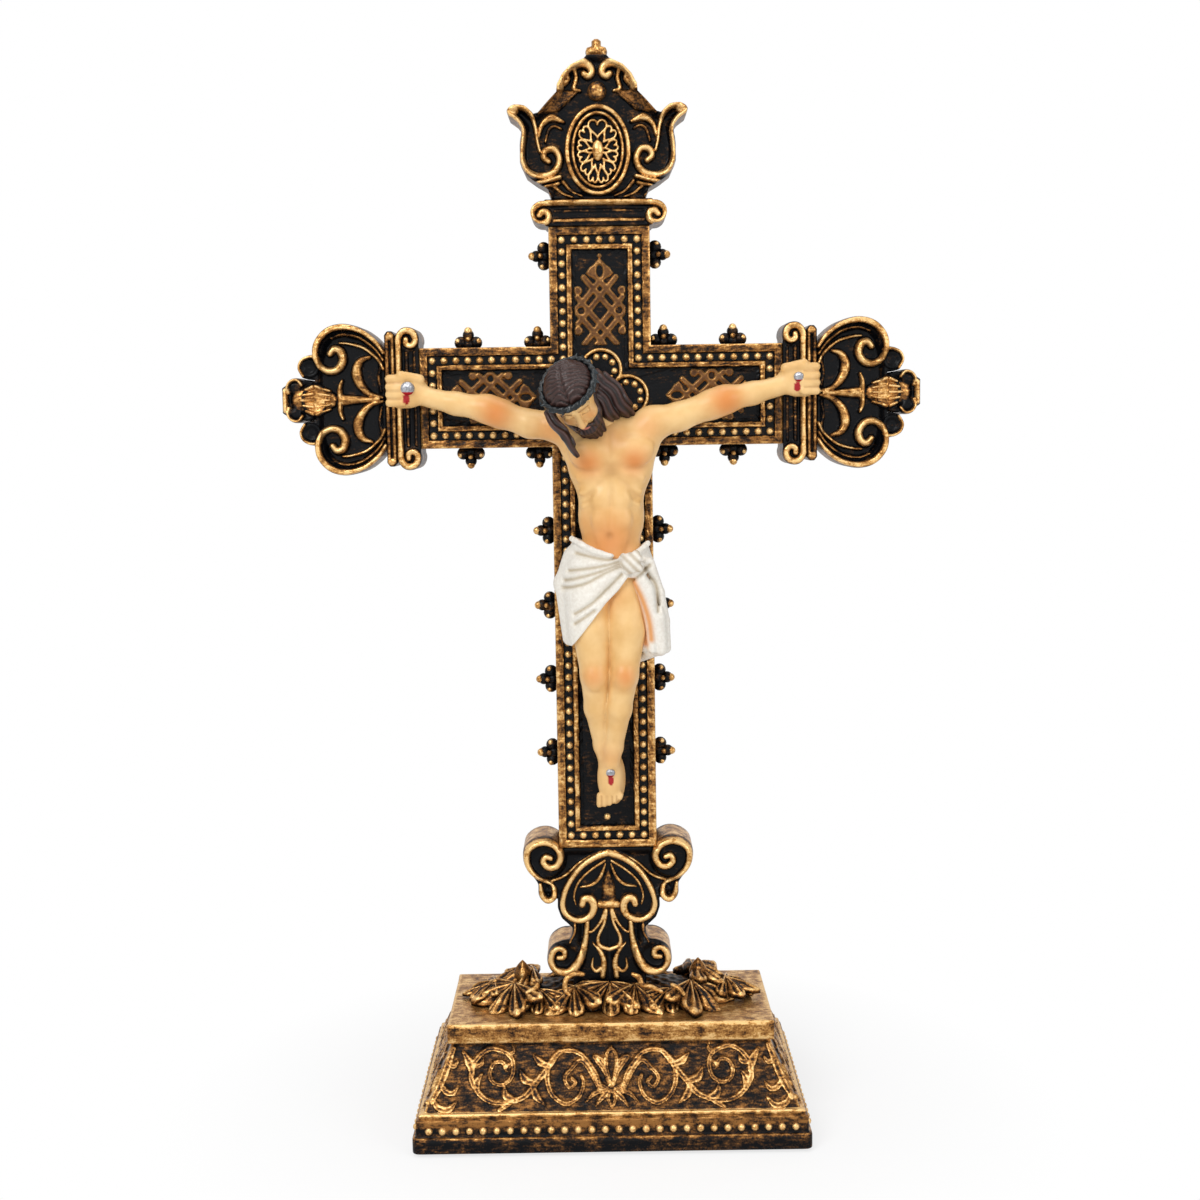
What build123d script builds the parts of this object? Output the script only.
"""Standing crucifix: a cross with scrolled ends and a figure, on a stepped plinth.

Millimetres. +Z is up, +X is the viewer's right and -Y faces the viewer.
The origin is the middle of the face that the felt pad rests on.
"""
import os
from math import cos, degrees, radians, sin

from build123d import *

# Plinth, from the table up
plinth_width = 108.0
plinth_depth = 76.0
felt_thickness = 0.8
felt_inset = 2.5
plate_height = 4.4
plate_corner = 2.5
plate_round = 1.2
band_inset = 1.0
band_height = 4.7
ledge_inset = 1.7
ledge_height = 1.4
frieze_inset = 3.0
frieze_height = 14.4
slab_width = 90.6
slab_depth = 44.8
slab_height = 5.5
slab_overhang = 1.2

# Beads of the plinth
plinth_bead_radius = 1.15
plinth_bead_rise = 1.0
plinth_bead_pitch = 3.6
bead_sides = 4

# Cross body
foot_height = 45.6
shaft_width = 27.6
shaft_length = 172.4
arm_height = 27.5
arm_reach = 49.8
upper_rise = 45.9
cross_thickness = 14.0
rim_width = 2.2
channel_width = 2.6
inner_rim_width = 1.6
channel_depth = 0.9
panel_depth = 1.6
edge_break = 0.5

# Beads of the frame
frame_bead_radius = 0.95
frame_bead_rise = 1.0
frame_bead_pitch = 3.0

# Frets in the panels
fret_thickness = 0.8
fret_bar = 1.3
fret_hole = 2.9
fret_margin = 0.5
fret_halo_gap = 1.2
arm_fret_length = 25.0
arm_fret_height = 9.0

# Halo at the crossing
halo_lobe_offset = 7.6
halo_lobe_radius = 6.2
halo_band = 1.4
halo_sides = 10
halo_rise = 1.2

# Scroll work
scroll_band = 1.8
scroll_rise = 1.6
facet_turn = 38.0
disc_sides = 12
ring_sides = 20

# Capitals and collars
capital_height = 7.4
capital_half_width = 14.6
capital_volute = 3.0
capital_thickness = 16.0
arm_capital_length = 6.4
arm_capital_half_height = 14.4
collar_length = 3.1
collar_half_height = 18.6
collar_thickness = 15.0
collar_bevel = 0.9

# Arm terminals
terminal_thickness = 12.4
terminal_length = 28.6
terminal_half_height = 20.3
bud_half_height = 5.8
bud_length = 12.4
lobe_radius = 3.3

# Crest
crest_height = 43.4
crest_thickness = 11.0
crest_neck = 13.0
horn_reach = 24.5
horn_height = 23.6
crest_waist = (14.6, 3.2)
crest_hip = (17.6, 5.6)
crest_side = (20.8, 11.6)
horn_root = (20.2, 19.4)
horn_throat = (21.2, 21.6)
horn_back = (20.6, 25.4)
horn_foot = (17.4, 22.8)
shoulder_low = (16.2, 23.0)
shoulder_high = (11.0, 29.0)
crest_leaf = (10.0, 33.6)
stem_start = (18.7, 22.0)
curl_start = (9.6, 33.0)
curl_radius = 10.0
curl_end_radius = 1.9
cartouche_half_width = 9.2
cartouche_half_height = 12.2
cartouche_band = 1.5
cartouche_rise = 1.4
cartouche_above_base = 13.2
petal_count = 10
petal_rise = 0.8
petal_sides = 8
stud_radius = 2.7
finial_height = 5.2
finial_half_width = 3.0

# Foot
foot_thickness = 13.0
foot_volute_thickness = 17.0
foot_neck_half_width = 10.4
strap_rise = 1.3
strap_band = 1.7

# Knops along the edges
knop_bead = 1.8
knop_reach = 5.7
knop_half_width = 3.6
knop_thickness = 6.0
corner_knop_gap = 3.6
arm_knop_at = 36.6
upper_knop_drop = 7.3
shaft_knop_drop = 23.3
shaft_knop_pitch = 21.0
shaft_knop_end = 15.0

# Garland on the slab
garland_half_length = 37.0
garland_half_depth = 17.5
garland_height = 5.6
garland_skirt = 1.0
garland_taper = 20.0
garland_leaf_length = 15.0
garland_leaf_width = 13.0
garland_leaf_thickness = 1.8
garland_leaf_tilt = 32.0
bud_radius = 2.2
bud_height = 6.0
bud_at = 24.5

# Hardware
rod_radius = 2.5
rod_clearance = 0.2
rod_in_cross = 26.0
nut_across = 8.0
nut_height = 4.0
washer_half_width = 6.0
washer_thickness = 1.0
washer_clearance = 0.3
peg_radius = 1.2
peg_length = 9.0
peg_depth = 4.5
peg_clearance = 0.1

# Figure: distances below are measured from the middle of the crossing, on the face of the rims
figure_gap = 0.2
toe_gap = 6.1
nail_radius = 1.5
nail_rise = 2.8
crown_band = 1.6
crown_height = 2.6
hair_thickness = 1.3

# Facets round the rounded forms
body_sides = 14
limb_sides = 10

# Heights that follow from the sizes above
plate_base = felt_thickness
band_base = plate_base + plate_height
ledge_base = band_base + band_height
frieze_base = ledge_base + ledge_height
slab_base = frieze_base + frieze_height
slab_top = slab_base + slab_height
shaft_base = slab_top + foot_height
shaft_top = shaft_base + shaft_length
arm_centre = shaft_top - upper_rise
arm_rise = arm_centre - shaft_base
crest_base = shaft_top + capital_height
cross_front = -cross_thickness / 2
capital_end = arm_reach + arm_capital_length
collar_end = capital_end + collar_length
frame_inset = rim_width + channel_width / 2
panel_inset = rim_width + channel_width + inner_rim_width
panel_front = cross_front + panel_depth
channel_front = cross_front + channel_depth


def front_plane(y, base=0):
    """An upright plane at this depth whose normal faces the viewer, with its origin at this height."""
    return Plane(origin=(0, y, base), x_dir=(1, 0, 0), z_dir=(0, -1, 0))


def rolled_band(start, heading, runs, width):
    """A band that follows tangent arcs in short facets: each run is (radius, turn) or (None, length)."""
    x, z = start
    way = radians(heading)
    path = [(x, z, way)]
    for radius, turn in runs:
        if radius is None:
            x, z = x + turn * cos(way), z + turn * sin(way)
            path.append((x, z, way))
            continue
        side = 1 if turn > 0 else -1
        steps = max(1, round(abs(turn) / facet_turn))
        centre = (x - side * radius * sin(way), z + side * radius * cos(way))
        for step in range(steps):
            way += radians(turn) / steps
            x, z = centre[0] + side * radius * sin(way), centre[1] - side * radius * cos(way)
            path.append((x, z, way))
    near = [(x - sin(way) * width / 2, z + cos(way) * width / 2) for x, z, way in path]
    far = [(x + sin(way) * width / 2, z - cos(way) * width / 2) for x, z, way in path]
    with BuildSketch() as band:
        with BuildLine():
            Polyline(*near, *reversed(far), close=True)
        make_face()
    return band.sketch


def facet_oval(half_width, half_height, sides):
    """An oval of straight facets."""
    turns = [radians(360 * step / sides) for step in range(sides)]
    with BuildSketch() as oval:
        with BuildLine():
            Polyline(*[(half_width * cos(turn), half_height * sin(turn)) for turn in turns], close=True)
        make_face()
    return oval.sketch


def ring(half_width, half_height, band):
    """An oval band, measured to its outside."""
    with BuildSketch() as oval:
        add(facet_oval(half_width, half_height, ring_sides))
        add(facet_oval(half_width - band, half_height - band, ring_sides), mode=Mode.SUBTRACT)
    return oval.sketch


def oval_ring(plane, half_width, half_height, sides):
    """Corner points of an oval of straight facets on this plane."""
    turns = [radians(360 * (step + 0.5) / sides) for step in range(sides)]
    return [plane.from_local_coords(Vector(half_width * cos(turn), half_height * sin(turn), 0)) for turn in turns]


def corners(width, depth, height):
    """Corner points of a level rectangle."""
    return [Vector(side * width / 2, end * depth / 2, height) for side, end in ((-1, -1), (1, -1), (1, 1), (-1, 1))]


def facet_solid(rings):
    """A solid of flat triangles through rings of points; a ring of one point is a tip."""
    faces = []
    for lower, upper in zip(rings, rings[1:]):
        for step in range(max(len(lower), len(upper))):
            near, far = lower[step % len(lower)], lower[(step + 1) % len(lower)]
            above, beyond = upper[step % len(upper)], upper[(step + 1) % len(upper)]
            if len(lower) > 1:
                faces.append(Face(Wire.make_polygon([near, far, beyond])))
            if len(upper) > 1:
                faces.append(Face(Wire.make_polygon([near, beyond, above])))
    for end in (rings[0], rings[-1]):
        if len(end) > 1:
            faces.append(Face(Wire.make_polygon(end)))
    return Solid(Shell(faces))


def cross_outline(inset):
    """The plan of the cross body, drawn in from its edges."""
    with BuildSketch() as plan:
        with Locations((0, shaft_base + shaft_length / 2)):
            Rectangle(shaft_width - 2 * inset, shaft_length - 2 * inset)
        with Locations((0, arm_centre)):
            Rectangle(2 * (arm_reach - inset), arm_height - 2 * inset)
    return plan.sketch


def spaced(first, last, pitch):
    """Evenly spaced places from first to last, both included, near this pitch."""
    count = max(1, round(abs(last - first) / pitch))
    return [first + (last - first) * step / count for step in range(count + 1)]


os.makedirs("parts", exist_ok=True)

# Felt pad under the plinth
with BuildPart() as felt_pad:
    with BuildSketch(Plane.XY):
        RectangleRounded(plinth_width - 2 * felt_inset, plinth_depth - 2 * felt_inset, plate_corner)
    extrude(amount=felt_thickness)
felt_pad.part.label = "felt_pad"
export_step(felt_pad.part, "parts/felt_pad.step")

# Plinth: plate, bead band, ledge, sloping frieze and slab, with the bore for the tie rod
nut_pocket = nut_height + washer_thickness + washer_clearance
with BuildPart() as plinth:
    with BuildSketch(Plane.XY.offset(plate_base)):
        RectangleRounded(plinth_width, plinth_depth, plate_corner)
    extrude(amount=plate_height)
    chamfer(plinth.faces().sort_by(Axis.Z)[0].edges(), plate_round)
    with BuildSketch(Plane.XY.offset(band_base)):
        RectangleRounded(plinth_width - 2 * band_inset, plinth_depth - 2 * band_inset, plate_corner - band_inset)
    extrude(amount=band_height)
    with BuildSketch(Plane.XY.offset(ledge_base)):
        Rectangle(plinth_width - 2 * ledge_inset, plinth_depth - 2 * ledge_inset)
    extrude(amount=ledge_height)
    add(facet_solid([corners(plinth_width - 2 * frieze_inset, plinth_depth - 2 * frieze_inset, frieze_base),
                     corners(slab_width - 2 * slab_overhang, slab_depth - 2 * slab_overhang, slab_base)]))
    with BuildSketch(Plane.XY.offset(slab_base)):
        Rectangle(slab_width, slab_depth)
    extrude(amount=slab_height)
    with BuildSketch(Plane.XY.offset(plate_base)):
        Rectangle(2 * (washer_half_width + washer_clearance), 2 * (washer_half_width + washer_clearance))
    extrude(amount=nut_pocket, mode=Mode.SUBTRACT)
    with BuildSketch(Plane.XY.offset(plate_base)):
        Circle(rod_radius + rod_clearance)
    extrude(amount=slab_top, mode=Mode.SUBTRACT)
plinth.part.label = "plinth"
export_step(plinth.part, "parts/plinth.step")

# Beads round the band of the plinth
band_half_width = plinth_width / 2 - band_inset
band_half_depth = plinth_depth / 2 - band_inset
bead_height = band_base + plinth_bead_radius + (band_height - 2 * plinth_bead_radius) / 3
long_row = spaced(-band_half_width + plinth_bead_pitch, band_half_width - plinth_bead_pitch, plinth_bead_pitch)
short_row = spaced(-band_half_depth + plinth_bead_pitch, band_half_depth - plinth_bead_pitch, plinth_bead_pitch)
plinth_bead = facet_solid([oval_ring(Plane.XY, plinth_bead_radius, plinth_bead_radius, bead_sides),
                           [Vector(0, 0, plinth_bead_rise)]])
front_band = Plane(origin=(0, -band_half_depth, bead_height), x_dir=(1, 0, 0), z_dir=(0, -1, 0))
back_band = Plane(origin=(0, band_half_depth, bead_height), x_dir=(-1, 0, 0), z_dir=(0, 1, 0))
left_band = Plane(origin=(-band_half_width, 0, bead_height), x_dir=(0, -1, 0), z_dir=(-1, 0, 0))
right_band = Plane(origin=(band_half_width, 0, bead_height), x_dir=(0, 1, 0), z_dir=(1, 0, 0))
with BuildPart() as plinth_beads:
    for face, row in ((front_band, long_row), (back_band, long_row), (left_band, short_row), (right_band, short_row)):
        with Locations(*[face.location * Pos(place, 0, 0) for place in row]):
            add(plinth_bead)
plinth_beads.part.label = "plinth_beads"
export_step(plinth_beads.part, "parts/plinth_beads.step")

# Foot: scrolled bracket between the slab and the shaft
lower_volute = (12.2, slab_top + 0.305 * foot_height)
upper_volute = (18.0, slab_top + 0.93 * foot_height)
heart_lobe = (8.0, slab_top + 0.64 * foot_height)
drop_end = (17.4, slab_top + 0.69 * foot_height)
lower_volute_radius = 5.0
upper_volute_radius = 5.9
heart_lobe_radius = 6.2
drop_radius = 2.2
with BuildPart() as foot:
    with BuildSketch(front_plane(foot_thickness / 2)):
        with Locations((0, slab_top + foot_height / 2)):
            Rectangle(2 * foot_neck_half_width, foot_height)
        with Locations((-heart_lobe[0], heart_lobe[1]), heart_lobe):
            RegularPolygon(heart_lobe_radius, disc_sides)
        with BuildLine():
            Polyline((0, heart_lobe[1]), (heart_lobe[0] + heart_lobe_radius, heart_lobe[1]),
                     (upper_volute[0], upper_volute[1] - upper_volute_radius), (upper_volute[0], shaft_base),
                     (0, shaft_base), close=True)
        shoulder = make_face()
        mirror(shoulder, about=Plane.YZ)
    extrude(amount=foot_thickness)
    with BuildSketch(front_plane(foot_volute_thickness / 2)):
        with Locations((-upper_volute[0], upper_volute[1]), upper_volute):
            RegularPolygon(upper_volute_radius, disc_sides)
    extrude(amount=foot_volute_thickness)
    with BuildSketch(front_plane(foot_volute_thickness / 2)):
        with BuildLine():
            Line((drop_end[0] - drop_radius, drop_end[1]), upper_volute)
            Line(upper_volute, (upper_volute[0] + 0.8 * upper_volute_radius, upper_volute[1] - 0.5 * upper_volute_radius))
            Line((upper_volute[0] + 0.8 * upper_volute_radius, upper_volute[1] - 0.5 * upper_volute_radius),
                 (drop_end[0] + drop_radius, drop_end[1]))
            ThreePointArc((drop_end[0] + drop_radius, drop_end[1]), (drop_end[0], drop_end[1] - drop_radius),
                          (drop_end[0] - drop_radius, drop_end[1]))
        drop = make_face()
        mirror(drop, about=Plane.YZ)
    extrude(amount=foot_volute_thickness)
    with BuildSketch(front_plane(foot_thickness / 2)):
        with Locations((-lower_volute[0], lower_volute[1]), lower_volute):
            RegularPolygon(lower_volute_radius, disc_sides)
    extrude(amount=foot_thickness + scroll_rise)
    with BuildSketch(front_plane(-foot_volute_thickness / 2)):
        for side in (1, -1):
            add(rolled_band((side * (upper_volute[0] + 4.5), upper_volute[1]), 90,
                            [(4.2, side * 180), (2.7, side * 220)], scroll_band))
    extrude(amount=scroll_rise / 2)
    with BuildSketch(front_plane(-foot_thickness / 2 - scroll_rise)):
        for side in (1, -1):
            add(rolled_band((side * (lower_volute[0] - 3.7), lower_volute[1]), -90,
                            [(3.7, side * 180), (2.1, side * 160)], scroll_band))
    extrude(amount=scroll_rise / 2)
    with BuildSketch(Plane.XY.offset(slab_top)):
        Circle(rod_radius + rod_clearance)
    extrude(amount=foot_height, mode=Mode.SUBTRACT)
    with BuildSketch(Plane.XY.offset(shaft_base)):
        Rectangle(shaft_width, 2 * foot_volute_thickness)
    extrude(amount=foot_height, mode=Mode.SUBTRACT)
foot.part.label = "foot"
export_step(foot.part, "parts/foot.step")

# Heart-shaped strap on the foot
strap_runs = [(27.3, -30), (8.7, -40), (5.6, -90), (3.2, -170)]
with BuildPart() as foot_strap:
    with BuildSketch(front_plane(-foot_thickness / 2)):
        strap = add(rolled_band((0, shaft_base - strap_band), -20, strap_runs, strap_band))
        mirror(strap, about=Plane.YZ)
    extrude(amount=strap_rise)
foot_strap.part.label = "foot_strap"
export_step(foot_strap.part, "parts/foot_strap.step")

# Spear, tie and leaf drop inside the strap
tie_height = slab_top + 0.6 * foot_height
spear_length = 7.6
tie_half_width = 2.8
tie_band = 2.6
drop_half_width = 3.0
drop_half_height = 5.6
drop_band = 1.0
with BuildPart() as foot_leaf:
    with BuildSketch(front_plane(-foot_thickness / 2)):
        with Locations((0, tie_height)):
            Rectangle(2 * tie_half_width, tie_band)
        with BuildLine():
            Polyline((-tie_half_width + 0.6, tie_height), (tie_half_width - 0.6, tie_height),
                     (0, tie_height + tie_band / 2 + spear_length), close=True)
        make_face()
        with Locations((0, tie_height - tie_band / 2 - drop_half_height + drop_band)):
            add(ring(drop_half_width, drop_half_height, drop_band))
    extrude(amount=strap_rise)
foot_leaf.part.label = "foot_leaf"
export_step(foot_leaf.part, "parts/foot_leaf.step")

# Cross body with its rims, bead channel and sunk panel
peg_heights = (arm_centre - 0.6 * arm_height, shaft_base + 0.35 * arm_rise)
with BuildPart() as cross_body:
    with BuildSketch(front_plane(cross_thickness / 2)):
        add(cross_outline(0))
    extrude(amount=cross_thickness)
    chamfer(cross_body.faces().sort_by(Axis.Y)[0].edges(), edge_break)
    with BuildSketch(front_plane(cross_front)):
        add(cross_outline(rim_width))
        add(cross_outline(rim_width + channel_width), mode=Mode.SUBTRACT)
    extrude(amount=-channel_depth, mode=Mode.SUBTRACT)
    with BuildSketch(front_plane(cross_front)):
        add(cross_outline(panel_inset))
    extrude(amount=-panel_depth, mode=Mode.SUBTRACT)
    with BuildSketch(front_plane(panel_front)):
        with Locations(*[(0, z) for z in peg_heights]):
            Circle(peg_radius + peg_clearance)
    extrude(amount=-peg_depth, mode=Mode.SUBTRACT)
    with BuildSketch(Plane.XY.offset(shaft_base)):
        Circle(rod_radius + rod_clearance)
    extrude(amount=rod_in_cross, mode=Mode.SUBTRACT)
cross_body.part.label = "cross_body"
export_step(cross_body.part, "parts/cross_body.step")

# Bead rows in the channel, one row for each straight stretch
row_x = shaft_width / 2 - frame_inset
row_top = shaft_top - frame_inset
row_base = shaft_base + frame_inset
row_reach = arm_reach - frame_inset
arm_row_top = arm_centre + arm_height / 2 - frame_inset
arm_row_base = arm_centre - arm_height / 2 + frame_inset
bead_places = [(x, z) for z in (row_top, row_base) for x in spaced(-row_x, row_x, frame_bead_pitch)]
for side in (-row_x, row_x):
    bead_places += [(side, z) for z in spaced(row_top, arm_row_top, frame_bead_pitch)[1:]]
    bead_places += [(side, z) for z in spaced(row_base, arm_row_base, frame_bead_pitch)[1:]]
    end = row_reach if side > 0 else -row_reach
    for z in (arm_row_top, arm_row_base):
        bead_places += [(x, z) for x in spaced(side, end, frame_bead_pitch)[1:]]
    bead_places += [(end, z) for z in spaced(arm_row_base, arm_row_top, frame_bead_pitch)[1:-1]]
frame_bead = facet_solid([oval_ring(Plane.XZ, frame_bead_radius, frame_bead_radius, bead_sides),
                          [Vector(0, -frame_bead_rise, 0)]])
with BuildPart() as frame_beads:
    with Locations(*[(x, channel_front, z) for x, z in bead_places]):
        add(frame_bead)
frame_beads.part.label = "frame_beads"
export_step(frame_beads.part, "parts/frame_beads.step")


def fret(width, height):
    """A pierced plate: staggered diamond holes with bars of one width between them."""
    pitch = (fret_hole + fret_bar) * 2 ** 0.5
    across = max(1, int((width - 2 * fret_margin) / pitch))
    up = max(1, int((height - 2 * fret_margin) / pitch))
    with BuildSketch() as plate:
        Rectangle(width, height)
        with GridLocations(pitch, pitch, across, up):
            Rectangle(fret_hole, fret_hole, rotation=45, mode=Mode.SUBTRACT)
        if across > 1 and up > 1:
            with GridLocations(pitch, pitch, across - 1, up - 1):
                Rectangle(fret_hole, fret_hole, rotation=45, mode=Mode.SUBTRACT)
    return plate.sketch


# Frets lie on the floor of the panel, above the crossing and along both arms
panel_half_width = shaft_width / 2 - panel_inset
panel_top = shaft_top - panel_inset
halo_top = arm_centre + halo_lobe_offset + halo_lobe_radius
upper_fret_length = panel_top - fret_margin - halo_top - fret_halo_gap
arm_fret_at = arm_reach - panel_inset - fret_margin - arm_fret_length / 2
fret_groups = {
    "fret_upper": ([(0, panel_top - fret_margin - upper_fret_length / 2)],
                   (2 * (panel_half_width - fret_margin), upper_fret_length)),
    "arm_frets": ([(-arm_fret_at, arm_centre), (arm_fret_at, arm_centre)], (arm_fret_length, arm_fret_height)),
}
for name, (places, size) in fret_groups.items():
    with BuildPart() as frets:
        with BuildSketch(front_plane(panel_front)):
            with Locations(*places):
                add(fret(*size))
        extrude(amount=fret_thickness)
    frets.part.label = name
    export_step(frets.part, f"parts/{name}.step")

# Halo of four lobes on the panel at the crossing
with BuildPart() as halo:
    with BuildSketch(front_plane(panel_front)):
        with Locations((0, arm_centre)):
            with PolarLocations(halo_lobe_offset, 4):
                RegularPolygon(halo_lobe_radius, halo_sides)
            with PolarLocations(halo_lobe_offset, 4):
                RegularPolygon(halo_lobe_radius - halo_band, halo_sides, mode=Mode.SUBTRACT)
    extrude(amount=halo_rise)
halo.part.label = "halo"
export_step(halo.part, "parts/halo.step")

# Capital on top of the shaft
volute_at = capital_half_width + 0.8
with BuildPart() as capital_top:
    with BuildSketch(front_plane(capital_thickness / 2)):
        with Locations((0, shaft_top + capital_height / 2)):
            Rectangle(2 * capital_half_width, capital_height)
        with Locations((-volute_at, shaft_top + capital_height / 2), (volute_at, shaft_top + capital_height / 2)):
            RegularPolygon(capital_volute, disc_sides)
    extrude(amount=capital_thickness)
    with BuildSketch(front_plane(-capital_thickness / 2)):
        scroll = add(rolled_band((0, shaft_top + capital_height / 2 + 2.1), 0,
                                 [(None, volute_at), (2.1, -180), (1.2, -170)], 1.3))
        mirror(scroll, about=Plane.YZ)
    extrude(amount=scroll_rise / 2)
    with BuildSketch(Plane.XY.offset(shaft_top)):
        Rectangle(shaft_width, 2 * capital_thickness)
    extrude(amount=-capital_height, mode=Mode.SUBTRACT)
capital_top.part.label = "capital_top"
export_step(capital_top.part, "parts/capital_top.step")


def handed(sketch, side):
    """The right-hand sketch itself, or its mirror image for the left."""
    return sketch if side > 0 else mirror(sketch, about=Plane.YZ, mode=Mode.PRIVATE)


def arm_capital_plan():
    with BuildSketch() as plan:
        with Locations(((arm_reach + capital_end) / 2, arm_centre)):
            Rectangle(arm_capital_length, 2 * arm_capital_half_height)
        eye_x = arm_reach + arm_capital_length - capital_volute
        with Locations((eye_x, arm_centre + arm_capital_half_height + 1.2),
                       (eye_x, arm_centre - arm_capital_half_height - 1.2)):
            RegularPolygon(capital_volute, disc_sides)
    return plan.sketch


def arm_capital_scrolls():
    with BuildSketch() as scrolls:
        for way in (1, -1):
            add(rolled_band((capital_end - 0.9, arm_centre), 90 * way,
                            [(None, arm_capital_half_height + 1.2), (2.1, 180 * way), (1.2, 170 * way)], 1.3))
    return scrolls.sketch


terminal_runs = [(17.6, -45.7), (6.5, -90), (3.8, -180), (2.5, -210)]
scroll_start = (0.9, 13.4)
volute_centre = (13.6, 12.2)
bud_root = terminal_length - bud_length


def terminal_plate():
    """Plan of the right-hand terminal: two scrolls, the lobes beside the bud and the bud itself."""
    top = terminal_half_height
    crown = volute_centre[0] - 0.6
    reach = volute_centre[0] + top - volute_centre[1] - 0.8
    with BuildSketch() as plan:
        with BuildLine():
            Line((0, 0), (0, scroll_start[1]))
            ThreePointArc((0, scroll_start[1]), (6.2, top - 2.1), (crown, top))
            ThreePointArc((crown, top), (reach - 1.7, top - 3.2), (reach, volute_centre[1]))
            ThreePointArc((reach, volute_centre[1]), (reach - 1.6, volute_centre[1] - 4.4), (crown, 6.0))
            Polyline((crown, 6.0), (crown, 0), (0, 0))
        half = make_face()
        mirror(half, about=Plane.XZ)
        with Locations((bud_root + 4.4, 9.0), (bud_root + 4.4, -9.0)):
            RegularPolygon(lobe_radius, disc_sides)
        with Locations((bud_root + 1.0, 0)):
            Rectangle(2 * 5.4, 2 * 9.4)
    return plan.sketch.moved(Location((collar_end, arm_centre, 0)))


def terminal_scrolls():
    """Rolled bands and leaf loops that stand on the plate of the right-hand terminal."""
    with BuildSketch() as bands:
        scroll = add(rolled_band(scroll_start, 45.7, terminal_runs, scroll_band))
        mirror(scroll, about=Plane.XZ)
        with Locations(Location((5.2, 6.4, 0), (0, 0, 1), 24), Location((5.2, -6.4, 0), (0, 0, 1), -24)):
            add(ring(4.6, 4.4, 1.2))
        with Locations((13.0, 0)):
            Rectangle(1.6, 10.6)
    return bands.sketch.moved(Location((collar_end, arm_centre, 0)))


def bud_plan():
    """Plan of the closed bud at the end of the right-hand terminal."""
    with BuildSketch() as plan:
        with BuildLine():
            Line((bud_root + 6.4, 0), (bud_root + 6.4, bud_half_height - 1.2))
            ThreePointArc((bud_root + 6.4, bud_half_height - 1.2), (bud_root + 8.2, bud_half_height),
                          (terminal_length - 2.0, bud_half_height - 1.6))
            Line((terminal_length - 2.0, bud_half_height - 1.6), (terminal_length, bud_half_height / 2))
            Line((terminal_length, bud_half_height / 2), (terminal_length, 0))
            Line((terminal_length, 0), (bud_root + 6.4, 0))
        half = make_face()
        mirror(half, about=Plane.XZ)
    return plan.sketch.moved(Location((collar_end, arm_centre, 0)))


# Capital, collar, terminal and bud at the end of each arm, each kind as a left and right pair
with BuildPart() as arm_capitals:
    for side in (-1, 1):
        with BuildSketch(front_plane(capital_thickness / 2)):
            add(handed(arm_capital_plan(), side))
        extrude(amount=capital_thickness)
        with BuildSketch(front_plane(-capital_thickness / 2)):
            add(handed(arm_capital_scrolls(), side))
        extrude(amount=scroll_rise / 2)
    with BuildSketch(front_plane(capital_thickness)):
        with Locations((0, arm_centre)):
            Rectangle(2 * arm_reach, arm_height)
    extrude(amount=2 * capital_thickness, mode=Mode.SUBTRACT)
arm_capitals.part.label = "arm_capitals"
export_step(arm_capitals.part, "parts/arm_capitals.step")

with BuildPart() as arm_collars:
    with BuildSketch(front_plane(collar_thickness / 2)):
        for side in (-1, 1):
            with Locations((side * (capital_end + collar_end) / 2, arm_centre)):
                Rectangle(collar_length, 2 * collar_half_height)
    extrude(amount=collar_thickness)
    chamfer(arm_collars.edges().filter_by(Axis.Y), collar_bevel)
arm_collars.part.label = "arm_collars"
export_step(arm_collars.part, "parts/arm_collars.step")

with BuildPart() as arm_terminals:
    for side in (-1, 1):
        with BuildSketch(front_plane(terminal_thickness / 2)):
            add(handed(terminal_plate(), side))
        extrude(amount=terminal_thickness)
        with BuildSketch(front_plane(-terminal_thickness / 2)):
            add(handed(terminal_scrolls(), side))
        extrude(amount=scroll_rise)
arm_terminals.part.label = "arm_terminals"
export_step(arm_terminals.part, "parts/arm_terminals.step")

with BuildPart() as terminal_buds:
    for side in (-1, 1):
        with BuildSketch(front_plane(terminal_thickness / 2)):
            add(handed(bud_plan(), side))
        extrude(amount=terminal_thickness + scroll_rise)
terminal_buds.part.label = "terminal_buds"
export_step(terminal_buds.part, "parts/terminal_buds.step")

# Crest: shaped plate with horns, and its stems rolled into volutes
leaf_top = crest_height - finial_height
stem_runs = [(30.0, -8), (4.5, -180), (2.8, -220)]
with BuildPart() as crest:
    with BuildSketch(front_plane(crest_thickness / 2, crest_base)):
        with BuildLine():
            Line((0, 0), (crest_neck, 0))
            ThreePointArc((crest_neck, 0), crest_waist, crest_hip)
            ThreePointArc(crest_hip, crest_side, horn_root)
            ThreePointArc(horn_root, horn_throat, (horn_reach, horn_height))
            ThreePointArc((horn_reach, horn_height), horn_back, horn_foot)
            Polyline(horn_foot, shoulder_low, shoulder_high)
            ThreePointArc(shoulder_high, crest_leaf, (finial_half_width, leaf_top))
            Polyline((finial_half_width, leaf_top), (0, leaf_top), (0, 0))
        half_crest = make_face()
        mirror(half_crest, about=Plane.YZ)
    extrude(amount=crest_thickness)
    with BuildSketch(front_plane(-crest_thickness / 2, crest_base)):
        stem = add(rolled_band(stem_start, -82, stem_runs, scroll_band))
        mirror(stem, about=Plane.YZ)
        curl = add(rolled_band(curl_start, 135, [(curl_radius, 45), (curl_end_radius, 200)], scroll_band))
        mirror(curl, about=Plane.YZ)
    extrude(amount=scroll_rise)
crest.part.label = "crest"
export_step(crest.part, "parts/crest.step")

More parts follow.
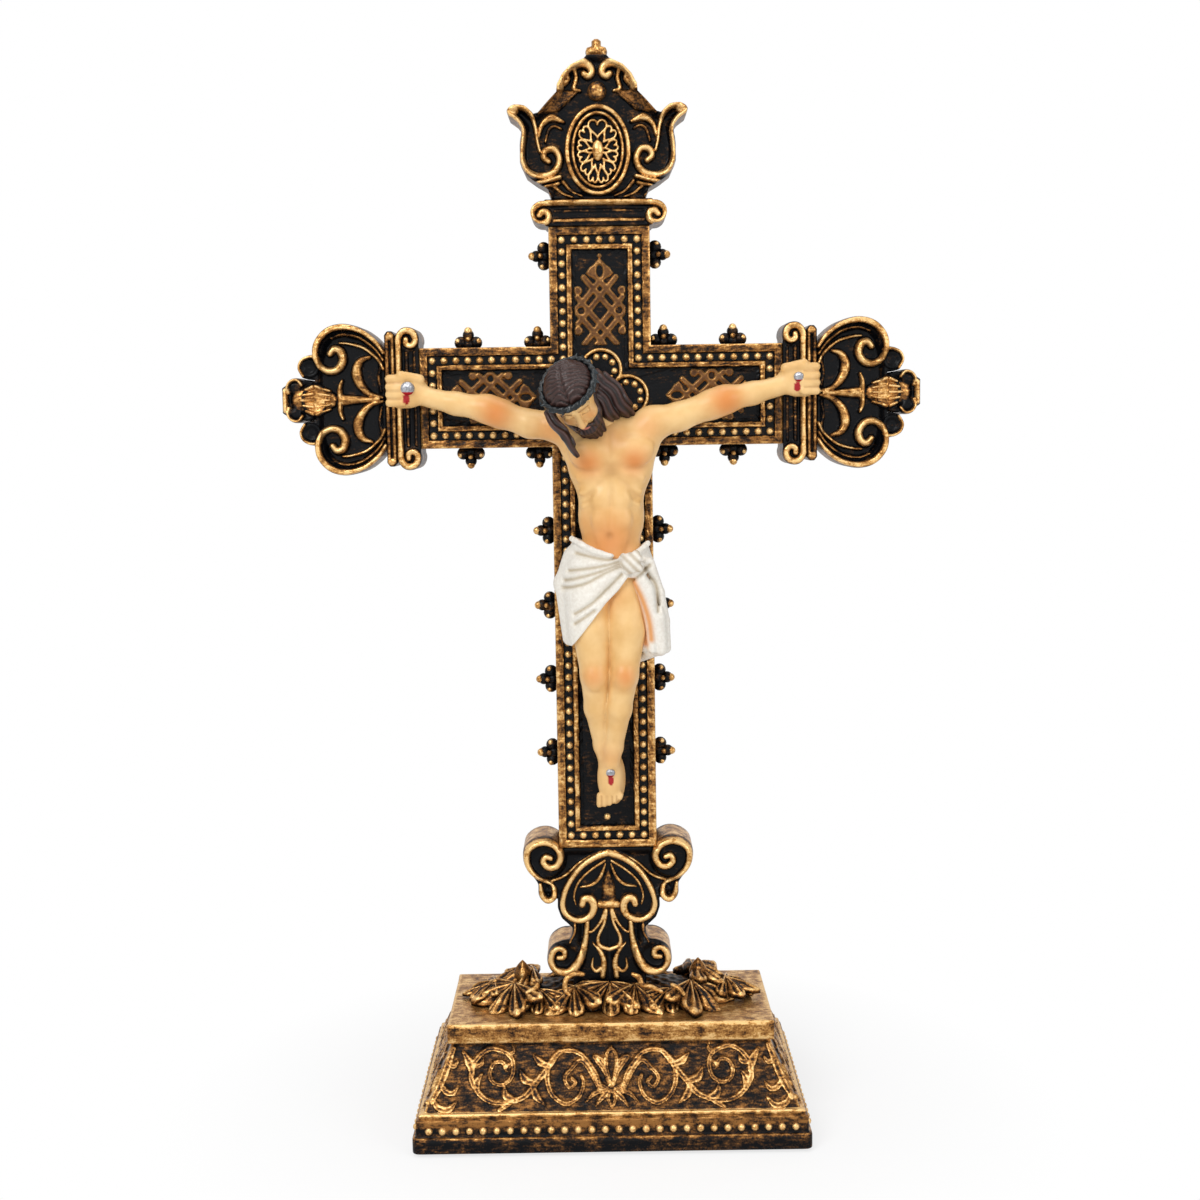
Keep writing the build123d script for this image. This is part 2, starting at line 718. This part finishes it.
# Oval cartouche with its rosette, and the stud above it
cartouche_centre = (0, crest_base + cartouche_above_base)
with BuildPart() as crest_cartouche:
    with BuildSketch(front_plane(-crest_thickness / 2)):
        with Locations(cartouche_centre):
            add(ring(cartouche_half_width, cartouche_half_height, cartouche_band))
    extrude(amount=cartouche_rise)
crest_cartouche.part.label = "crest_cartouche"
export_step(crest_cartouche.part, "parts/crest_cartouche.step")

petal_half_width = cartouche_half_width - 2 * cartouche_band
petal_half_height = cartouche_half_height - 2 * cartouche_band
with BuildPart() as crest_rosette:
    with BuildSketch(front_plane(-crest_thickness / 2)):
        with Locations(cartouche_centre):
            add(facet_oval(0.26 * petal_half_width, 0.4 * petal_half_height, petal_sides))
        for petal in range(petal_count):
            angle = radians(90 + 360 * petal / petal_count)
            middle = (0.56 * petal_half_width * cos(angle), 0.58 * petal_half_height * sin(angle))
            lean = degrees(angle)
            with Locations(Location((middle[0], cartouche_centre[1] + middle[1], 0), (0, 0, 1), lean)):
                add(facet_oval(0.4 * petal_half_width, 0.19 * petal_half_width, petal_sides))
    extrude(amount=petal_rise)
crest_rosette.part.label = "crest_rosette"
export_step(crest_rosette.part, "parts/crest_rosette.step")

with BuildPart() as crest_stud:
    with BuildSketch(front_plane(-crest_thickness / 2)):
        with Locations((0, cartouche_centre[1] + cartouche_half_height + stud_radius + 0.4)):
            RegularPolygon(stud_radius, disc_sides)
    extrude(amount=cartouche_rise + 0.6)
crest_stud.part.label = "crest_stud"
export_step(crest_stud.part, "parts/crest_stud.step")

# Bud finial on the crest
with BuildPart() as crest_finial:
    with BuildSketch(front_plane(finial_half_width)):
        with BuildLine():
            Line((0, crest_base + leaf_top), (finial_half_width * 0.9, crest_base + leaf_top))
            ThreePointArc((finial_half_width * 0.9, crest_base + leaf_top),
                          (finial_half_width, crest_base + leaf_top + 0.35 * finial_height),
                          (finial_half_width * 0.5, crest_base + leaf_top + 0.65 * finial_height))
            ThreePointArc((finial_half_width * 0.5, crest_base + leaf_top + 0.65 * finial_height),
                          (finial_half_width * 0.4, crest_base + leaf_top + 0.9 * finial_height),
                          (0, crest_base + crest_height))
            Line((0, crest_base + crest_height), (0, crest_base + leaf_top))
        half_finial = make_face()
        mirror(half_finial, about=Plane.YZ)
    extrude(amount=2 * finial_half_width)
crest_finial.part.label = "crest_finial"
export_step(crest_finial.part, "parts/crest_finial.step")


def knop_plan(x, z, facing):
    """Three beads in a cluster that stands out from (x, z) in the direction given in degrees."""
    out = (cos(radians(facing)), sin(radians(facing)))
    along = (-out[1], out[0])
    spread = knop_half_width - knop_bead
    low, high = knop_bead * 0.9, knop_reach - knop_bead
    with BuildSketch() as cluster:
        for step, offset in ((low, -spread), (high, 0), (low, spread)):
            with Locations((x + out[0] * step + along[0] * offset, z + out[1] * step + along[1] * offset)):
                RegularPolygon(knop_bead, 6)
        with Locations((x + out[0] * low / 2, z + out[1] * low / 2)):
            Rectangle(low, 2 * spread, rotation=facing)
    return cluster.sketch


# Knops along the edges: the upper shaft, the arms and the lower shaft
edge_x = shaft_width / 2
corner_x = edge_x + corner_knop_gap
arm_top = arm_centre + arm_height / 2
arm_base = arm_centre - arm_height / 2
first_knop = arm_base - shaft_knop_drop
lower_knop_count = 1 + int((first_knop - shaft_base - shaft_knop_end) / shaft_knop_pitch)
lower_knops = [first_knop - shaft_knop_pitch * step for step in range(lower_knop_count)]
knop_groups = {
    "knops_upper": [(side * edge_x, shaft_top - upper_knop_drop, 90 - 90 * side) for side in (-1, 1)],
    "knops_arms": [(side * x, z, facing) for side in (-1, 1) for x in (corner_x, arm_knop_at)
                   for z, facing in ((arm_top, 90), (arm_base, -90))],
    "knops_shaft": [(side * edge_x, z, 90 - 90 * side) for side in (-1, 1) for z in lower_knops],
}
for name, places in knop_groups.items():
    with BuildPart() as knops:
        with BuildSketch(front_plane(knop_thickness / 2)):
            for place in places:
                add(knop_plan(*place))
            add(cross_outline(0), mode=Mode.SUBTRACT)
        extrude(amount=knop_thickness)
    knops.part.label = name
    export_step(knops.part, f"parts/{name}.step")

# Tie rod with nut and washer: it pulls the foot down on the plinth
rod_base = plate_base + nut_pocket - washer_thickness - nut_height
with BuildPart() as tie_rod:
    with BuildSketch(Plane.XY.offset(rod_base)):
        Circle(rod_radius)
    extrude(amount=shaft_base + rod_in_cross - rod_base)
tie_rod.part.label = "tie_rod"
export_step(tie_rod.part, "parts/tie_rod.step")

with BuildPart() as tie_washer:
    with BuildSketch(Plane.XY.offset(plate_base + nut_pocket - washer_thickness)):
        Rectangle(2 * washer_half_width, 2 * washer_half_width)
        Circle(rod_radius, mode=Mode.SUBTRACT)
    extrude(amount=washer_thickness)
tie_washer.part.label = "tie_washer"
export_step(tie_washer.part, "parts/tie_washer.step")

with BuildPart() as tie_nut:
    with BuildSketch(Plane.XY.offset(rod_base)):
        RegularPolygon(nut_across / 2, 6, major_radius=False)
        Circle(rod_radius, mode=Mode.SUBTRACT)
    extrude(amount=nut_height)
tie_nut.part.label = "tie_nut"
export_step(tie_nut.part, "parts/tie_nut.step")

# Pegs between the figure and the cross
with BuildPart() as figure_pegs:
    with BuildSketch(front_plane(panel_front + peg_depth)):
        with Locations(*[(0, z) for z in peg_heights]):
            Circle(peg_radius)
    extrude(amount=peg_length)
figure_pegs.part.label = "figure_pegs"
export_step(figure_pegs.part, "parts/figure_pegs.step")

# Garland of leaves on the slab, round the foot
leaf_outline = [(0.0, 0.12), (0.2, 0.36), (0.4, 0.5), (0.5, 0.36), (0.7, 0.42), (1.0, 0.0)]
leaf_spread = [(0.57, 0.29, 55), (0.35, 0.49, 80), (0.0, 0.51, 90), (-0.35, 0.49, 100), (-0.57, 0.29, 125)]
leaf_places = [(garland_half_length * x, way * garland_half_depth * y, way * facing)
               for way in (1, -1) for x, y, facing in leaf_spread]
leaf_places += [(0.78 * side * garland_half_length, 0, 90 - 90 * side) for side in (-1, 1)]
leaf_rise = garland_leaf_length * sin(radians(garland_leaf_tilt))
with BuildPart() as leaf_garland:
    mound_draft = garland_height * sin(radians(garland_taper))
    add(facet_solid([oval_ring(Plane.XY.offset(slab_top + rise), garland_half_length - garland_skirt - draft,
                               garland_half_depth - garland_skirt - draft, ring_sides)
                     for rise, draft in ((0, 0), (garland_height, mound_draft))]))
    for x, y, facing in leaf_places:
        out = Vector(cos(radians(facing)), sin(radians(facing)), 0)
        up = out * sin(radians(garland_leaf_tilt)) + Vector(0, 0, cos(radians(garland_leaf_tilt)))
        along = out * cos(radians(garland_leaf_tilt)) - Vector(0, 0, sin(radians(garland_leaf_tilt)))
        with BuildSketch(Plane(origin=(x, y, slab_top + leaf_rise), x_dir=along, z_dir=up)):
            with BuildLine():
                edge = [(u * garland_leaf_length, v * garland_leaf_width) for u, v in leaf_outline]
                Polyline(*edge, *[(u, -v) for u, v in reversed(edge[:-1])], close=True)
            make_face()
        extrude(amount=garland_leaf_thickness)
    with BuildSketch(Plane.XY.offset(slab_top)):
        Rectangle(2 * foot_neck_half_width, foot_thickness)
    extrude(amount=foot_height, mode=Mode.SUBTRACT)
leaf_garland.part.label = "leaf_garland"
export_step(leaf_garland.part, "parts/leaf_garland.step")

# Figure: body with both arms, legs and feet; x and depth from the crossing, height above or below it
torso = [(1.6, 7.6, -51, 11.6, 6.8), (2.0, 7.7, -43, 11.2, 7.1), (2.8, 7.9, -35, 9.0, 6.6),
         (2.8, 8.4, -25.5, 10.7, 7.7), (2.3, 8.5, -16.5, 13.3, 8.2), (1.6, 7.8, -9.5, 13.6, 7.2),
         (0.4, 7.2, -4.2, 8.6, 5.2)]
arm_left = [(-9, 7.2, -8.4, 4.6, 4.9), (-19, 6.4, -6.4, 3.5, 3.6), (-28.5, 6.2, -3.3, 3.5, 3.7),
            (-38, 6.0, -1.9, 2.9, 3.2), (-47.5, 5.6, 0.9, 2.2, 2.6), (-53, 5.4, 1.9, 2.8, 4.7),
            (-57.4, 5.4, 1.9, 2.1, 4.4)]
arm_right = [(12.5, 7.2, -7.9, 4.6, 4.9), (20.5, 6.4, -6.0, 3.5, 3.7), (30.5, 6.2, -2.6, 3.5, 3.7),
             (40, 6.0, 0.3, 2.9, 3.2), (48, 5.6, 2.1, 2.2, 2.6), (53.8, 5.4, 3.9, 2.8, 4.7),
             (58.8, 5.4, 4.1, 2.1, 4.4)]
leg_left = [(-4.2, 7.6, -51, 6.2, 6.6), (-3.6, 9, -64, 5.4, 5.8), (-2.4, 11, -77.5, 4.0, 4.5),
            (-1.7, 8.8, -89, 3.6, 4.2), (-1.0, 5.2, -100, 2.2, 2.6)]
leg_right = [(7.6, 7.6, -51, 6.2, 6.6), (7.2, 9, -64, 5.2, 5.8), (5.6, 11, -77, 3.9, 4.5),
             (4.4, 8.8, -89, 3.4, 4.2), (2.6, 5.6, -100, 2.2, 2.6)]
feet = [(0.8, 5.3, -98.5, 3.7, 2.7), (0.9, 6.2, -105, 3.9, 2.8), (0.9, 6.6, -111, 4.1, 2.0),
        (0.9, 6.6, -114, 3.8, 1.4)]


drawn_stature = -feet[-1][2]
stature = arm_rise - panel_inset - toe_gap


def figure_height(height):
    """A height of the figure: below the crossing it is stretched so that the toes end above the panel's edge."""
    return arm_centre + (height * stature / drawn_stature if height < 0 else height)


def figure_point(x, depth, height):
    """A point of the figure, from its distance to the crossing and to the face of the rims."""
    return Vector(x, cross_front - figure_gap - depth, figure_height(height))


def level_stack(stations, sides):
    """A solid through level ovals, each given as (x, depth, height, half width, half depth)."""
    return facet_solid([oval_ring(Plane(figure_point(x, depth, height)), half_width, half_depth, sides)
                        for x, depth, height, half_width, half_depth in stations])


def side_stack(stations, sides):
    """A solid through upright ovals that face sideways, each (x, depth, height, half depth, half height)."""
    return facet_solid([oval_ring(Plane(figure_point(x, depth, height), (0, 1, 0), (1, 0, 0)), half_depth, half_height,
                                  sides) for x, depth, height, half_depth, half_height in stations])


with BuildPart() as figure_body:
    add(level_stack(torso, body_sides))
    add(level_stack(feet, body_sides))
    for limb in (arm_left, arm_right):
        add(side_stack(limb, limb_sides))
    for limb in (leg_left, leg_right):
        add(level_stack(limb, limb_sides))
    with BuildSketch(front_plane(cross_front)):
        with Locations(*[(0, z) for z in peg_heights]):
            Circle(peg_radius + peg_clearance)
    extrude(amount=peg_length - peg_depth - panel_depth, mode=Mode.SUBTRACT)
figure_body.part.label = "figure_body"
export_step(figure_body.part, "parts/figure_body.step")

# Head, bowed forward and to the viewer's left; the stations run from the chin to the crown of the head
head_centre = figure_point(-6.3, 17.0, 1.8)
head_way = Vector(-0.36, -0.6, 0.71).normalized()
head_across = Vector(1, 0, 0) - head_way * head_way.X
head_stations = [(-9.0, 2.6, 2.8), (-5.0, 4.6, 5.2), (0.0, 6.0, 7.0), (4.5, 5.9, 7.2), (8.4, 3.2, 4.0)]
neck = [(0.0, 7.4, -6.5, 4.2), (-2.6, 11.0, -1.8, 3.8), (-5.4, 15.0, 1.0, 3.8)]


def head_plane(station, shift):
    """A plane across the head at this station, moved by a shift."""
    return Plane(head_centre + head_way * station + shift, head_across, head_way)


with BuildPart() as figure_head:
    add(facet_solid([oval_ring(head_plane(station, Vector()), half_width, half_depth, body_sides)
                     for station, half_width, half_depth in head_stations]))
    add(facet_solid([oval_ring(Plane(figure_point(x, depth, height), head_across, head_way), radius, radius, limb_sides)
                     for x, depth, height, radius in neck]))
    add(figure_body.part, mode=Mode.SUBTRACT)
figure_head.part.label = "figure_head"
export_step(figure_head.part, "parts/figure_head.step")

# Two closed buds that stand up out of the garland
bud_stations = [(0.0, 0.55), (0.35, 1.0), (0.7, 0.75), (1.0, 0.2)]
with BuildPart() as garland_buds:
    for side in (-1, 1):
        add(facet_solid([oval_ring(Plane((side * bud_at, 0, slab_top + garland_height + rise * bud_height)),
                                   share * bud_radius, share * bud_radius, limb_sides) for rise, share in bud_stations]))
garland_buds.part.label = "garland_buds"
export_step(garland_buds.part, "parts/garland_buds.step")

# Hair: a cap over the back and top of the head, and the lock that falls beside the face
lock = [(0.0, 15.5, 4.0, 3.8, 3.8), (5.0, 13.5, 0.2, 3.2, 3.2), (8.6, 11.4, -3.0, 1.6, 1.6)]
hair_shift = Vector(0, 0.7, 0.4) * hair_thickness
hair_top = (head_stations[-1][0] + hair_thickness, 1.6, 2.2)
with BuildPart() as hair:
    add(facet_solid([oval_ring(head_plane(station, hair_shift), half_width + hair_thickness,
                               half_depth + hair_thickness, body_sides)
                     for station, half_width, half_depth in head_stations[1:] + [hair_top]]))
    add(side_stack(lock, limb_sides))
    add(figure_head.part, mode=Mode.SUBTRACT)
    add(figure_body.part, mode=Mode.SUBTRACT)
hair.part.label = "hair"
export_step(hair.part, "parts/hair.step")

# Beard under the chin
beard_stations = [(-3.9, 16.0, -5.4, 3.4, 3.4), (-3.6, 17.4, -8.6, 2.9, 2.9), (-3.2, 17.8, -11.6, 1.4, 1.4)]
with BuildPart() as beard:
    add(level_stack(beard_stations, limb_sides))
    add(figure_head.part, mode=Mode.SUBTRACT)
    add(figure_body.part, mode=Mode.SUBTRACT)
    add(hair.part, mode=Mode.SUBTRACT)
beard.part.label = "beard"
export_step(beard.part, "parts/beard.step")

# Crown of thorns: a band round the hair
crown_station = 3.6
crown_half_width = 6.0 + hair_thickness + crown_band
crown_half_depth = 7.2 + hair_thickness + crown_band
with BuildPart() as thorn_crown:
    with BuildSketch(head_plane(crown_station - crown_height / 2, hair_shift)):
        add(facet_oval(crown_half_width, crown_half_depth, body_sides))
    extrude(amount=crown_height)
    add(hair.part, mode=Mode.SUBTRACT)
    add(figure_head.part, mode=Mode.SUBTRACT)
thorn_crown.part.label = "thorn_crown"
export_step(thorn_crown.part, "parts/thorn_crown.step")

# Loincloth: wrapped round the hips, its hem rising to the knot, with the loose end hanging at the side
cloth_wrap = [(2.3, 7.8, -39.4, 11.8, 8.3), (1.5, 8.2, -46, 13.2, 9.2), (0.8, 9.0, -54, 13.4, 9.8),
              (0.9, 9.8, -67, 11.6, 8.8)]
cloth_tail = [(11.8, 11.0, -44.0, 3.2, 3.6), (14.6, 9.6, -58.0, 2.9, 3.4), (15.4, 8.8, -72.6, 3.3, 3.6)]
hem = [(-24, -66.5), (9, -50.5), (24, -50.5), (24, -90), (-24, -90)]
with BuildPart() as loincloth:
    add(level_stack(cloth_wrap, body_sides))
    with BuildSketch(front_plane(0)):
        with BuildLine():
            Polyline(*[(x, figure_height(height)) for x, height in hem], close=True)
        make_face()
    extrude(amount=3 * cross_thickness, mode=Mode.SUBTRACT)
    add(level_stack(cloth_tail, limb_sides))
    add(figure_body.part, mode=Mode.SUBTRACT)
    with BuildSketch(front_plane(cross_front - figure_gap)):
        with Locations((0, arm_centre - arm_rise / 2)):
            Rectangle(2 * shaft_width, arm_rise)
    extrude(amount=-cross_thickness, mode=Mode.SUBTRACT)
loincloth.part.label = "loincloth"
export_step(loincloth.part, "parts/loincloth.step")

# Knot of the loincloth
knot_at = (7.6, 17.0)
knot_stations = [(-49.0, 1.4), (-47.2, 3.0), (-44.8, 3.0), (-43.0, 1.4)]
with BuildPart() as cloth_knot:
    add(level_stack([(*knot_at, height, radius, radius) for height, radius in knot_stations], limb_sides))
    add(loincloth.part, mode=Mode.SUBTRACT)
    add(figure_body.part, mode=Mode.SUBTRACT)
cloth_knot.part.label = "cloth_knot"
export_step(cloth_knot.part, "parts/cloth_knot.step")

# Nails through the hands and the feet, with their heads showing
nail_seat = 7.4
nail_sides = 6
nail_places = {"hand_nails": [(-52.6, 1.9), (53.4, 4.0)], "foot_nail": [(0.9, -103.5)]}
for name, places in nail_places.items():
    with BuildPart() as nails:
        for x, height in places:
            seat = figure_point(x, nail_seat, height)
            with BuildSketch(Plane(origin=seat, x_dir=(1, 0, 0), z_dir=(0, -1, 0))):
                RegularPolygon(nail_radius, nail_sides)
            extrude(amount=nail_rise)
        add(figure_body.part, mode=Mode.SUBTRACT)
    nails.part.label = name
    export_step(nails.part, f"parts/{name}.step")
